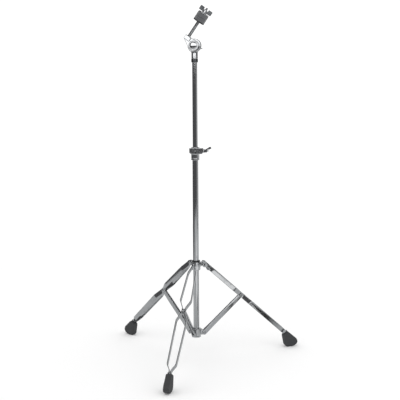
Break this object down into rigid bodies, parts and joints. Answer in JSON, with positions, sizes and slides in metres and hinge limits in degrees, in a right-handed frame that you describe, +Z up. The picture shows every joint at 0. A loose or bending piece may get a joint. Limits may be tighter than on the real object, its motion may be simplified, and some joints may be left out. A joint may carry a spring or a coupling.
{
  "type": "straight cymbal stand",
  "caption": "Straight cymbal stand with a double braced folding tripod, a telescoping mast, a tilter and a felt stack on a threaded rod.",
  "frame": {"origin": "centre of the stand's bounding box, on the floor under it", "axes": "+Z up along the mast; the front leg, the tilter's arm and the height clamp face -Y; the rod leans to +X"},
  "size_m": [0.7456, 0.6464, 1.3462],
  "materials": {
    "chrome_tube": "bright chrome plate on drawn steel tube",
    "plated_strap": "chrome plate on pressed steel strap",
    "plated_casting": "chrome plate on die casting, slightly soft",
    "chrome_fitting": "polished chrome plate",
    "dark_nickel": "dark satin plated casting",
    "threaded_rod": "rolled thread, zinc plated",
    "rivet_steel": "plated rivet",
    "black_nylon": "moulded black nylon",
    "white_nylon": "moulded natural nylon",
    "foot_rubber": "moulded dark rubber, matt",
    "grey_felt": "pressed wool felt, dark grey"
  },
  "bodies": {
    "mast": {"lower_tube": "chrome_tube", "base_plug": "black_nylon", "lower_collar": "plated_casting", "lower_collar_pin": "rivet_steel", "clamp_body": "plated_casting", "clamp_bushing": "black_nylon", "clamp_bolt": "chrome_fitting", "clamp_washer": "chrome_fitting", "front_base_rivet": "rivet_steel", "right_base_rivet": "rivet_steel", "left_base_rivet": "rivet_steel"},
    "upper_collar": {"upper_collar": "plated_casting", "collar_bushing": "black_nylon", "front_collar_rivet": "rivet_steel", "right_collar_rivet": "rivet_steel", "left_collar_rivet": "rivet_steel"},
    "collar_bolt": {"collar_wing_bolt": "chrome_fitting"},
    "clamp_lever": {"clamp_lever_nut": "dark_nickel"},
    "tube_plug": {"upper_tube_plug": "white_nylon"},
    "upper_mast": {"upper_tube": "chrome_tube", "stem_ring": "dark_nickel", "tilter_base": "chrome_fitting", "tilter_friction_disc": "black_nylon", "tilter_bolt": "chrome_fitting", "tilter_washer": "chrome_fitting"},
    "tilter_nut": {"tilter_wing_nut": "chrome_fitting"},
    "head": {"tilter_arm": "chrome_fitting", "cymbal_rod": "threaded_rod", "seat_washer": "black_nylon", "cymbal_sleeve": "black_nylon", "lower_felt": "grey_felt"},
    "cymbal_clamp": {"upper_felt": "grey_felt", "top_washer": "chrome_fitting"},
    "cymbal_nut": {"cymbal_wing_nut": "dark_nickel"},
    "front_brace": {"front_brace_strap_1": "plated_strap", "front_brace_strap_2": "plated_strap"},
    "front_leg": {"front_leg_strap_1": "plated_strap", "front_leg_strap_2": "plated_strap", "front_brace_rivet": "rivet_steel", "front_foot": "foot_rubber", "front_foot_pin": "rivet_steel"},
    "right_brace": {"right_brace_strap_1": "plated_strap", "right_brace_strap_2": "plated_strap"},
    "right_leg": {"right_leg_strap_1": "plated_strap", "right_leg_strap_2": "plated_strap", "right_brace_rivet": "rivet_steel", "right_foot": "foot_rubber", "right_foot_pin": "rivet_steel"},
    "left_brace": {"left_brace_strap_1": "plated_strap", "left_brace_strap_2": "plated_strap"},
    "left_leg": {"left_leg_strap_1": "plated_strap", "left_leg_strap_2": "plated_strap", "left_brace_rivet": "rivet_steel", "left_foot": "foot_rubber", "left_foot_pin": "rivet_steel"}
  },
  "joints": [
    {"name": "front_brace_hinge", "type": "hinge", "parent": "mast", "child": "front_brace", "pos_m": [0, 0.07088, 0.09143], "axis": [-1, 0, 0], "range_deg": [0, 44]},
    {"name": "front_leg_hinge", "type": "hinge", "parent": "front_brace", "child": "front_leg", "pos_m": [0, -0.08227, 0.23128], "axis": [-1, 0, 0], "range_deg": [-88, 0]},
    {"name": "right_brace_hinge", "type": "hinge", "parent": "mast", "child": "right_brace", "pos_m": [0.02685, 0.11738, 0.09143], "axis": [0.5, -0.866, 0], "range_deg": [0, 44]},
    {"name": "right_leg_hinge", "type": "hinge", "parent": "right_brace", "child": "right_leg", "pos_m": [0.15948, 0.19396, 0.23128], "axis": [0.5, -0.866, 0], "range_deg": [-88, 0]},
    {"name": "left_brace_hinge", "type": "hinge", "parent": "mast", "child": "left_brace", "pos_m": [-0.02685, 0.11738, 0.09143], "axis": [0.5, 0.866, 0], "range_deg": [0, 44]},
    {"name": "left_leg_hinge", "type": "hinge", "parent": "left_brace", "child": "left_leg", "pos_m": [-0.15948, 0.19396, 0.23128], "axis": [0.5, 0.866, 0], "range_deg": [-88, 0]},
    {"name": "collar_hinge", "type": "hinge", "parent": "front_leg", "child": "upper_collar", "pos_m": [0, 0.07088, 0.37113], "axis": [-1, 0, 0], "range_deg": [0, 44]},
    {"name": "collar_bolt_spin", "type": "hinge", "parent": "upper_collar", "child": "collar_bolt", "pos_m": [0.0381, 0.07988, 0.37113], "axis": [0.866, -0.5, 0], "continuous": true},
    {"name": "clamp_lever_spin", "type": "hinge", "parent": "mast", "child": "clamp_lever", "pos_m": [0.03533, 0.09059, 0.80842], "axis": [0.9703, 0.2419, 0], "continuous": true},
    {"name": "height_slide", "type": "slide", "parent": "mast", "child": "tube_plug", "axis": [0, 0, 1], "range_m": [-0.311, 0.18]},
    {"name": "mast_swivel", "type": "hinge", "parent": "tube_plug", "child": "upper_mast", "pos_m": [0, 0.10188, 0.51462], "axis": [0, 0, 1], "continuous": true},
    {"name": "cymbal_tilt", "type": "hinge", "parent": "upper_mast", "child": "head", "pos_m": [0, 0.10188, 1.20023], "axis": [0, 1, 0], "range_deg": [-80, 54]},
    {"name": "tilter_nut_spin", "type": "hinge", "parent": "upper_mast", "child": "tilter_nut", "pos_m": [0, 0.11188, 1.20023], "axis": [0, 1, 0], "continuous": true},
    {"name": "cymbal_clamp_slide", "type": "slide", "parent": "head", "child": "cymbal_clamp", "axis": [0.5779, 0, 0.8161], "range_m": [0, 0.008]},
    {"name": "cymbal_nut_spin", "type": "hinge", "parent": "cymbal_clamp", "child": "cymbal_nut", "pos_m": [0.04472, 0.08608, 1.32136], "axis": [0.5779, 0, 0.8161], "continuous": true}
  ],
  "couplings": [
    {"joint": "front_leg_hinge", "follows": "front_brace_hinge", "ratio": -2},
    {"joint": "right_brace_hinge", "follows": "front_brace_hinge", "ratio": 1},
    {"joint": "right_leg_hinge", "follows": "front_brace_hinge", "ratio": -2},
    {"joint": "left_brace_hinge", "follows": "front_brace_hinge", "ratio": 1},
    {"joint": "left_leg_hinge", "follows": "front_brace_hinge", "ratio": -2},
    {"joint": "collar_hinge", "follows": "front_brace_hinge", "ratio": 1}
  ]
}
